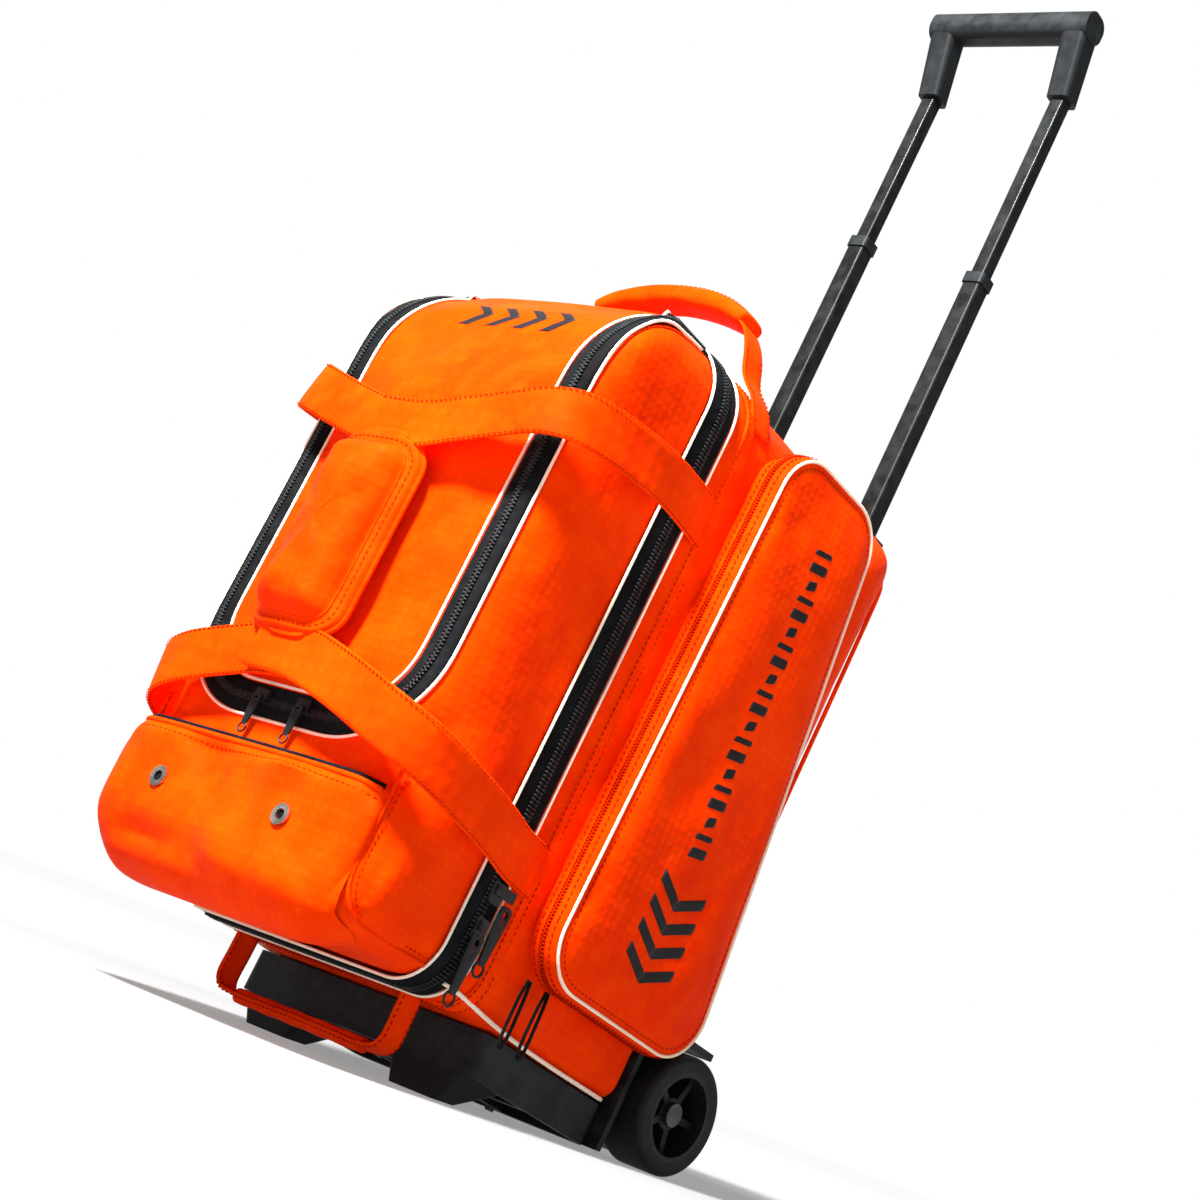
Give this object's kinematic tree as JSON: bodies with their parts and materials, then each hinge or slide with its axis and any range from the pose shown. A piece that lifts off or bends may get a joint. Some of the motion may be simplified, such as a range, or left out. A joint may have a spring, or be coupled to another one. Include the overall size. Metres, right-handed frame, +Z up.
{
  "type": "bowling ball bag",
  "caption": "Upright roller bag for two bowling balls: zipped ball tub, hinged shoe case, side pocket, carrying loops and a telescopic trolley handle on wheels.",
  "frame": {"origin": "on the floor, under the middle of the bag's bounding box", "axes": "+Z up, +Y towards the trolley tubes and wheels, +X towards the side pocket; the bag leans back 8 degrees in this frame, as it does when it stands on its feet and wheels"},
  "size_m": [0.2881, 0.5144, 0.9567],
  "materials": {
    "shell_fabric": "coated orange polyester weave",
    "webbing": "orange woven webbing",
    "lining_fabric": "black lining cloth",
    "zip_tape": "black coil zip and tape",
    "zip_metal": "black painted die cast metal",
    "pull_cord": "black braided cord",
    "eyelet_metal": "plated eyelet",
    "black_plastic": "moulded, lightly textured",
    "tyre_rubber": "moulded polyurethane tread",
    "tube_paint": "black powder coat",
    "steel": "zinc plated",
    "board": "pressed board",
    "foam": "closed cell foam"
  },
  "bodies": {
    "bag": {"axle": "steel", "axle_cap_left": "steel", "axle_cap_right": "steel", "base_tray": "black_plastic", "bottom_handle_anchors": "webbing", "frame_board": "board", "front_foot_left": "black_plastic", "front_foot_right": "black_plastic", "lower_ball_cradle": "foam", "main_slider_lower": "zip_metal", "main_slider_upper": "zip_metal", "main_zip_tub_tape": "zip_tape", "outer_tube_left": "tube_paint", "outer_tube_right": "tube_paint", "side_pocket_gusset": "shell_fabric", "top_handle_anchors": "webbing", "tray_screws": "steel", "tub_shell": "shell_fabric", "tube_bezel_left": "black_plastic", "tube_bezel_right": "black_plastic", "upper_ball_cradle": "foam", "wheel_housing_left": "black_plastic", "wheel_housing_right": "black_plastic"},
    "handle_stage": {"grip": "black_plastic", "upper_tube_left": "tube_paint", "upper_tube_right": "tube_paint"},
    "middle_stage_left": {"middle_tube_left": "tube_paint", "middle_collar_left": "black_plastic"},
    "middle_stage_right": {"middle_tube_right": "tube_paint", "middle_collar_right": "black_plastic"},
    "wheel_left": {"tyre_left": "tyre_rubber", "hub_left": "black_plastic"},
    "wheel_right": {"tyre_right": "tyre_rubber", "hub_right": "black_plastic"},
    "front_case": {"case_shell": "shell_fabric", "shoe_lid": "shell_fabric", "case_divider": "lining_fabric", "lid_zip": "zip_tape", "toe_pocket": "shell_fabric", "eyelets": "eyelet_metal", "main_zip_case_tape": "zip_tape", "lid_slider_left": "zip_metal", "lid_slider_right": "zip_metal"},
    "right_handle": {"tote_strap_right": "webbing", "handle_wrap": "shell_fabric"},
    "left_handle": {"tote_strap_left": "webbing"},
    "top_handle": {"top_handle_pad": "shell_fabric", "top_handle_webbing": "webbing"},
    "bottom_loop": {"bottom_handle": "webbing"},
    "pocket_cover": {"side_pocket_cover": "shell_fabric"},
    "main_pull_upper_tab": {"main_pull_upper": "zip_metal"},
    "main_pull_lower_tab": {"main_pull_lower": "zip_metal"},
    "lid_pull_left_tab": {"lid_pull_left": "pull_cord"},
    "lid_pull_right_tab": {"lid_pull_right": "pull_cord"},
    "side_pull_front_loop": {"side_zip_pull_front": "pull_cord"},
    "side_pull_rear_loop": {"side_zip_pull_rear": "pull_cord"}
  },
  "joints": [
    {"name": "handle_slide", "type": "slide", "parent": "bag", "child": "handle_stage", "axis": [0, 0.1392, 0.9903], "range_m": [-0.385, 0]},
    {"name": "middle_left_slide", "type": "slide", "parent": "bag", "child": "middle_stage_left", "axis": [0, 0.1392, 0.9903], "range_m": [-0.25, 0]},
    {"name": "middle_right_slide", "type": "slide", "parent": "bag", "child": "middle_stage_right", "axis": [0, 0.1392, 0.9903], "range_m": [-0.2225, 0]},
    {"name": "wheel_left_spin", "type": "hinge", "parent": "bag", "child": "wheel_left", "pos_m": [-0.005, 0.12603, 0.0415], "axis": [1, 0, 0], "continuous": true},
    {"name": "wheel_right_spin", "type": "hinge", "parent": "bag", "child": "wheel_right", "pos_m": [-0.005, 0.12603, 0.0415], "axis": [1, 0, 0], "continuous": true},
    {"name": "case_door", "type": "hinge", "parent": "bag", "child": "front_case", "pos_m": [-0.1285, -0.09701, 0.28674], "axis": [0, 0.1392, 0.9903], "range_deg": [-60, 0]},
    {"name": "right_handle_swing", "type": "hinge", "parent": "bag", "child": "right_handle", "pos_m": [0.1235, -0.07295, 0.27831], "axis": [0, 0.1392, 0.9903], "range_deg": [0, 102]},
    {"name": "left_handle_swing", "type": "hinge", "parent": "bag", "child": "left_handle", "pos_m": [-0.1335, -0.07295, 0.27831], "axis": [0, 0.1392, 0.9903], "range_deg": [-60, 0]},
    {"name": "top_handle_swing", "type": "hinge", "parent": "bag", "child": "top_handle", "pos_m": [-0.005, -0.01793, 0.52606], "axis": [1, 0, 0], "range_deg": [-60, 60]},
    {"name": "bottom_loop_swing", "type": "hinge", "parent": "bag", "child": "bottom_loop", "pos_m": [-0.005, -0.10649, 0.03965], "axis": [1, 0, 0], "range_deg": [-70, 45]},
    {"name": "pocket_cover_swing", "type": "hinge", "parent": "bag", "child": "pocket_cover", "pos_m": [0.141, 0.09805, 0.06948], "axis": [0, 0.0027, 1], "range_deg": [0, 75]},
    {"name": "main_pull_upper_swing", "type": "hinge", "parent": "bag", "child": "main_pull_upper_tab", "pos_m": [0.1237, -0.10357, 0.12508], "axis": [0, -0.9903, 0.1392], "range_deg": [0, 100]},
    {"name": "main_pull_lower_swing", "type": "hinge", "parent": "bag", "child": "main_pull_lower_tab", "pos_m": [0.1237, -0.1188, 0.10298], "axis": [0, -0.9903, 0.1392], "range_deg": [0, 100]},
    {"name": "lid_pull_left_swing", "type": "hinge", "parent": "front_case", "child": "lid_pull_left_tab", "pos_m": [-0.025, -0.22463, 0.19561], "axis": [-1, 0, 0], "range_deg": [0, 85]},
    {"name": "lid_pull_right_swing", "type": "hinge", "parent": "front_case", "child": "lid_pull_right_tab", "pos_m": [0.015, -0.22463, 0.19561], "axis": [-1, 0, 0], "range_deg": [0, 85]},
    {"name": "side_pull_front_swing", "type": "hinge", "parent": "bag", "child": "side_pull_front_loop", "pos_m": [0.1274, -0.06531, 0.0884], "axis": [0, -0.9903, 0.1392], "range_deg": [0, 80]},
    {"name": "side_pull_rear_swing", "type": "hinge", "parent": "bag", "child": "side_pull_rear_loop", "pos_m": [0.1274, -0.0455, 0.08561], "axis": [0, -0.9903, 0.1392], "range_deg": [0, 80]}
  ],
  "couplings": [
    {"joint": "middle_left_slide", "follows": "handle_slide", "ratio": 0.6397},
    {"joint": "middle_right_slide", "follows": "handle_slide", "ratio": 0.5705},
    {"joint": "right_handle_swing", "follows": "case_door", "ratio": -1.7},
    {"joint": "left_handle_swing", "follows": "case_door", "ratio": 1}
  ]
}
